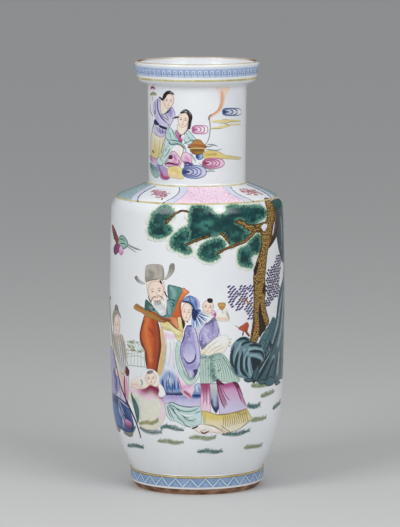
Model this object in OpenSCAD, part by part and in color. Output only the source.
// Rouleau vase in painted porcelain.
// The clay is thrown in six sections that are luted together with slip. A glaze coats the outside,
// the inside and the base, and enamel borders and lines lie on the glaze.
// Z is up, and the origin is the centre of the ring that the vase stands on. The front faces -Y.

/* [Foot ring] */
// Height of the foot ring
foot_h = 20; // [14:0.5:28]
// Thickness of the foot ring's wall
foot_wall = 11; // [9:0.5:14]
// How far the foot ring stands proud of the heel above it
foot_step = 0.5; // [0.2:0.1:2]
// How far the foot ring's wall leans in from its top to its bevel
foot_lean = 0.5; // [0:0.1:1.5]
// Width of the bare bevel on the foot ring's outer edge
bevel_w = 5; // [3:0.5:6]
// Height of the bare bevel on the foot ring's outer edge
bevel_h = 6.5; // [4:0.5:9]

/* [Body] */
// Radius of the body at its widest, the belly
belly_r = 92.2; // [84:0.1:104]
// Height of the belly above the table
belly_h = 200; // [180:1:220]
// Radius of the long swell of the body's side
swell_r = 2500; // [1500:50:6000]
// Radius of the curve that turns in to the foot, the heel
heel_r = 162; // [140:1:200]
// Height where the heel's curve begins
heel_h = 92; // [80:1:110]
// Thickness of the body's wall
body_wall = 6; // [4:0.5:8]
// Thickness of the floor
floor_t = 8; // [5:0.5:12]
// Rounding inside, between the floor and the wall
floor_fillet = 14; // [8:1:20]
// Height of the seam between the lower and the upper section of the body
body_seam_h = 168; // [120:1:240]

/* [Shoulder] */
// Height where the shoulder's corner begins
corner_h = 294.5; // [280:0.5:310]
// Radius of the shoulder's corner
corner_r = 19; // [14:0.5:26]
// Slope of the shoulder below the neck, in degrees
shoulder_slope = 22.4; // [15:0.2:32]

/* [Neck] */
// Radius of the neck at its foot
neck_r = 51; // [45:0.1:56]
// Height of the straight part of the neck
neck_h = 98; // [70:1:130]
// How much wider the neck is at its top
neck_flare = 1; // [0:0.1:3]
// Thickness of the neck's wall
neck_wall = 5; // [3.5:0.5:7]
// Rounding between the shoulder and the neck
neck_fillet = 4; // [2:0.5:7]

/* [Mouth] */
// Radius of the mouth at the foot of its wall
mouth_r = 62.9; // [59:0.1:70]
// Height of the mouth, from the top of the neck to the top of the lip
mouth_h = 26.5; // [23:0.5:34]
// Thickness of the mouth's wall
mouth_wall = 3.6; // [3:0.2:5]
// Rounding between the neck and the mouth's underside
mouth_fillet = 3; // [2:0.5:5]
// Radius of the corner between the mouth's underside and its wall
mouth_corner = 6.5; // [5.5:0.5:9]
// Rise of the mouth's underside, in degrees
under_slope = 22; // [10:1:35]
// Lean of the mouth's wall at its foot, in degrees
mouth_lean = 7; // [0:0.5:10]
// Radius of the rolled lip
lip_r = 2.4; // [1.8:0.1:3.2]
// How far the lip's rim lies outside the foot of the mouth's wall
lip_out = 2.5; // [1.5:0.1:4]

/* [Coats] */
// Thickness of a slip joint between two sections
slip_t = 1; // [0.5:0.1:2]
// Thickness of the glaze, and of the brown dressing on the edges
glaze_t = 0.4; // [0.2:0.05:0.8]
// Thickness of the enamel
enamel_t = 0.3; // [0.1:0.05:0.6]
// Clearance between an enamel and the glaze under it
coat_gap = 0.02; // [0:0.01:0.1]
// Width of an enamel line
line_w = 1.8; // [1:0.1:3]
// Height of the blue fret band on the mouth
fret_h = 9; // [6:0.5:11]
// Height of the blue border on the foot ring
foot_border_h = 10; // [6:0.5:11]

/* [Shoulder border] */
// Number of white reserves around the shoulder
reserve_count = 4; // [2:2:6]
// Turn of the first pink panel from the front, in degrees
border_turn = 9.8; // [-45:0.2:45]
// Radius of a reserve
reserve_r = 21.5; // [18:0.5:23]
// Width of the pale blue frame around a reserve
frame_w = 8.5; // [3:0.5:10]
// Angle on the shoulder's corner where the border ends, in degrees
border_end = 48.5; // [40:0.5:60]

/* [Hidden] */
$fn = 120;
// Steps in a long curve and in a short one
long_steps = 24;
short_steps = 12;
// Angles on the lip where its roll begins, and where the brown dressing begins and ends
lip_start = -50;
dressing_start = 95;
dressing_end = 160;
front = -90;

biscuit = "#f1ece2";
slip_clay = "#ded6c6";
white_glaze = "#eef0f2";
iron_brown = "#8a5a34";
fret_blue = "#8fb0e4";
border_blue = "#86a9da";
yellow = "#cdbf55";
pink = "#e9b9dc";
turquoise = "#8fbfc4";
frame_blue = "#bfd0ec";

// Points are [radius, height]. An angle is that of the outward normal above the horizontal.
function polar(centre, r, angle) = centre + r * [cos(angle), sin(angle)];
function arc(centre, r, from, to, steps = short_steps) =
    [for (i = [0:steps]) polar(centre, r, from + (to - from) * i / steps)];
function flip(points) = [for (i = [len(points) - 1:-1:0]) points[i]];
function unit(angle) = [cos(angle), sin(angle)];
// Height of the point at a given radius on a line, set by its normal and its distance from the origin
function height_on(normal, distance, r) = (distance - normal[0] * r) / normal[1];
// Radius at a given height on the straight line between two points
function radius_between(a, b, h) = a[0] + (b[0] - a[0]) * (h - a[1]) / (b[1] - a[1]);

// The body's side is three curves, each tangent to the next: heel, swell and shoulder corner.
base_z = foot_h + slip_t;
floor_z = base_z + floor_t;
swell_c = [belly_r - swell_r, belly_h];
heel_top_a = asin((heel_h - belly_h) / swell_r);
heel_c = polar(swell_c, swell_r - heel_r, heel_top_a);
heel_foot_a = asin((base_z - heel_c[1]) / heel_r);
corner_foot_a = asin((corner_h - belly_h) / swell_r);
corner_c = polar(swell_c, swell_r - corner_r, corner_foot_a);
slope_a = 90 - shoulder_slope;
slope_start = polar(corner_c, corner_r, slope_a);

// The neck rises from a fillet that touches the shoulder's slope.
slope_distance = unit(slope_a) * slope_start;
neck_fillet_c = [
    neck_r + neck_fillet,
    height_on(unit(slope_a), slope_distance + neck_fillet, neck_r + neck_fillet)
];
slope_end = polar(neck_fillet_c, -neck_fillet, slope_a);
neck_top = [neck_r + neck_flare, neck_fillet_c[1] + neck_h];

// The mouth opens from a second fillet, by a sloping underside and a round corner.
under_a = under_slope - 90;
mouth_fillet_c = neck_top + [mouth_fillet, 0];
under_start = polar(mouth_fillet_c, -mouth_fillet, under_a);
mouth_corner_r = mouth_r - mouth_corner * cos(mouth_lean);
mouth_corner_c = [
    mouth_corner_r,
    height_on(unit(under_a), unit(under_a) * under_start - mouth_corner, mouth_corner_r)
];
lip_top = neck_top[1] + mouth_h;
lip_c = [mouth_r + lip_out - lip_r, lip_top - lip_r];
mouth_wall_foot = polar(mouth_corner_c, mouth_corner, -mouth_lean);
mouth_wall_top = polar(lip_c, lip_r, lip_start);

// The foot ring stands under the heel.
heel_foot = polar(heel_c, heel_r, heel_foot_a);
foot_top_r = heel_foot[0] + foot_step;
foot_low_r = foot_top_r - foot_lean;
foot_bore_r = foot_top_r - foot_wall;
seat_r = heel_foot[0] - glaze_t;

// Outer surface from the heel to the shoulder, and on to the lip, moved in by a depth
function body_side(depth) = concat(
    arc(heel_c, heel_r - depth, heel_foot_a, heel_top_a, long_steps),
    arc(swell_c, swell_r - depth, heel_top_a, corner_foot_a, long_steps),
    arc(corner_c, corner_r - depth, corner_foot_a, slope_a)
);
function neck_side(depth) = concat(
    arc(neck_fillet_c, -neck_fillet - depth, slope_a, 0),
    arc(mouth_fillet_c, -mouth_fillet - depth, 0, under_a)
);
function mouth_side(depth) = arc(mouth_corner_c, mouth_corner - depth, under_a, -mouth_lean);
function outside(depth) = concat(body_side(depth), neck_side(depth), mouth_side(depth));
function foot_side(depth) = [[foot_low_r - depth, bevel_h], [foot_top_r - depth, foot_h]];

// Inner surface from the centre of the floor to the lip. Its depth is counted from the bare clay.
body_in = glaze_t + body_wall;
fillet_reach = heel_r - body_in - floor_fillet;
fillet_z = floor_z + floor_fillet;
floor_fillet_c = [heel_c[0] + sqrt(pow(fillet_reach, 2) - pow(fillet_z - heel_c[1], 2)), fillet_z];
floor_fillet_a = asin((fillet_z - heel_c[1]) / fillet_reach);
function inside(depth) = concat(
    [[0, floor_z + depth]],
    arc(floor_fillet_c, floor_fillet - depth, -90, floor_fillet_a),
    arc(heel_c, heel_r - body_in - depth, floor_fillet_a, heel_top_a, long_steps),
    arc(swell_c, swell_r - body_in - depth, heel_top_a, corner_foot_a, long_steps),
    arc(corner_c, corner_r - body_in - depth, corner_foot_a, slope_a),
    neck_side(glaze_t + neck_wall + depth),
    mouth_side(glaze_t + mouth_wall + depth)
);
function lip(depth, from, to) = arc(lip_c, lip_r - depth, from, to);

clay_profile = concat(
    [[0, base_z], [seat_r, base_z]],
    outside(glaze_t),
    lip(glaze_t, lip_start, 180),
    flip(inside(0))
);
mouth_seam_z = neck_top[1] - slip_t;
neck_seam_z = neck_fillet_c[1];
past_wall = belly_r * 1.2;

// A stretch of the clay wall between two heights
module clay_ring(from, to) {
    rotate_extrude()
        intersection() {
            polygon(clay_profile);
            translate([0, from]) square([past_wall, to - from]);
        }
}

// A coat between two lines of points that run the same way
module coat(under, over, angle = 360) {
    rotate_extrude(angle = angle) polygon(concat(under, flip(over)));
}

// Clay sections
module foot_ring() {
    color(biscuit)
        rotate_extrude()
            polygon(concat(
                [[foot_bore_r, 0], [foot_low_r - glaze_t - bevel_w, 0]],
                foot_side(glaze_t),
                [[foot_bore_r, foot_h]]
            ));
}
module lower_body() { color(biscuit) clay_ring(base_z, body_seam_h); }
module upper_body() { color(biscuit) clay_ring(body_seam_h + slip_t, corner_h); }
module shoulder() { color(biscuit) clay_ring(corner_h + slip_t, neck_seam_z); }
module neck() { color(biscuit) clay_ring(neck_seam_z + slip_t, mouth_seam_z); }
module mouth_rim() { color(biscuit) clay_ring(neck_top[1], lip_top); }

// Slip joints
module foot_seam_slip() {
    color(slip_clay)
        rotate_extrude()
            translate([foot_bore_r, foot_h])
                square([seat_r - foot_bore_r, slip_t]);
}
module body_seam_slip() { color(slip_clay) clay_ring(body_seam_h, body_seam_h + slip_t); }
module shoulder_seam_slip() { color(slip_clay) clay_ring(corner_h, corner_h + slip_t); }
module neck_seam_slip() { color(slip_clay) clay_ring(neck_seam_z, neck_seam_z + slip_t); }
module mouth_seam_slip() { color(slip_clay) clay_ring(mouth_seam_z, neck_top[1]); }

// Glazes and brown dressings
module outer_glaze() {
    color(white_glaze)
        coat(
            concat(foot_side(glaze_t), outside(glaze_t), lip(glaze_t, lip_start, dressing_start)),
            concat(foot_side(0), outside(0), lip(0, lip_start, dressing_start))
        );
}
module inner_glaze() {
    color(white_glaze)
        coat(
            concat(inside(glaze_t), flip(lip(0, dressing_end, 180))),
            concat(inside(0), flip(lip(glaze_t, dressing_end, 180)))
        );
}
module base_glaze() {
    color(white_glaze)
        rotate_extrude()
            translate([0, base_z - glaze_t]) square([foot_bore_r, glaze_t]);
}
module lip_dressing() {
    color(iron_brown)
        coat(lip(glaze_t, dressing_start, dressing_end), lip(0, dressing_start, dressing_end));
}
module foot_dressing() {
    bevel = [[foot_low_r - bevel_w, 0], [foot_low_r, bevel_h]];
    color(iron_brown) coat([for (p = bevel) p - [glaze_t, 0]], bevel);
}

// Enamel lines and borders. Each lies on the outer glaze.
enamel_top = coat_gap + enamel_t;
module band_between(foot, top) {
    edge = [foot, top];
    coat([for (p = edge) p + [coat_gap, 0]], [for (p = edge) p + [enamel_top, 0]]);
}
module line_on_arc(centre, r, from, turn) {
    coat(arc(centre, r + coat_gap, from, from + turn), arc(centre, r + enamel_top, from, from + turn));
}
function degrees_along(length, r) = length / r * 180 / PI;

module mouth_fret_band() {
    top_z = mouth_wall_top[1] - glaze_t;
    foot_z = top_z - fret_h;
    color(fret_blue)
        band_between(
            [radius_between(mouth_wall_foot, mouth_wall_top, foot_z), foot_z],
            [radius_between(mouth_wall_foot, mouth_wall_top, top_z), top_z]
        );
}
module mouth_line() {
    turn = degrees_along(line_w, mouth_corner);
    color(yellow) line_on_arc(mouth_corner_c, mouth_corner, -mouth_lean - turn, turn);
}
module neck_line() {
    turn = degrees_along(line_w, neck_fillet);
    color(yellow) line_on_arc(neck_fillet_c, -neck_fillet, slope_a - turn, turn);
}
module shoulder_line() {
    turn = degrees_along(line_w, corner_r);
    color(yellow) line_on_arc(corner_c, corner_r, border_end - turn, turn);
}
module foot_line() {
    color(yellow)
        band_between(
            [radius_between(foot_side(0)[0], foot_side(0)[1], foot_h - line_w), foot_h - line_w],
            foot_side(0)[1]
        );
}
module foot_border() {
    top_z = foot_h - line_w;
    foot_z = top_z - foot_border_h;
    color(border_blue)
        band_between(
            [radius_between(foot_side(0)[0], foot_side(0)[1], foot_z), foot_z],
            [radius_between(foot_side(0)[0], foot_side(0)[1], top_z), top_z]
        );
}

// The shoulder border runs from the neck line to the shoulder line, with round reserves left white.
panel_angle = 360 / reserve_count;
reserve_at = (polar(corner_c, corner_r, border_end)[0] + slope_end[0]) / 2;
function border_side(rise) = concat(
    arc(corner_c, corner_r + rise, border_end, slope_a),
    [slope_end + rise * unit(slope_a)]
);
module shoulder_band(angle = 360) { coat(border_side(coat_gap), border_side(enamel_top), angle); }
module at_reserves() {
    for (i = [0:reserve_count - 1])
        rotate(front + border_turn + panel_angle * (i + 0.5)) translate([reserve_at, 0, 0]) children();
}
module round_cut(r) {
    translate([0, 0, corner_h]) cylinder(r = r, h = neck_top[1] - corner_h);
}
// Every second panel, from the first one on
module panels(first) {
    difference() {
        for (i = [first:2:reserve_count - 1])
            rotate(front + border_turn + panel_angle * (i - 0.5)) shoulder_band(panel_angle);
        at_reserves() round_cut(reserve_r + frame_w);
    }
}
module shoulder_pink_panels() { color(pink) panels(0); }
module shoulder_green_panels() { color(turquoise) panels(1); }
module shoulder_blue_frames() {
    color(frame_blue)
        intersection() {
            shoulder_band();
            at_reserves()
                difference() {
                    round_cut(reserve_r + frame_w);
                    round_cut(reserve_r);
                }
        }
}

foot_ring();
lower_body();
upper_body();
shoulder();
neck();
mouth_rim();
foot_seam_slip();
body_seam_slip();
shoulder_seam_slip();
neck_seam_slip();
mouth_seam_slip();
outer_glaze();
inner_glaze();
base_glaze();
lip_dressing();
foot_dressing();
mouth_fret_band();
mouth_line();
neck_line();
shoulder_pink_panels();
shoulder_green_panels();
shoulder_blue_frames();
shoulder_line();
foot_line();
foot_border();
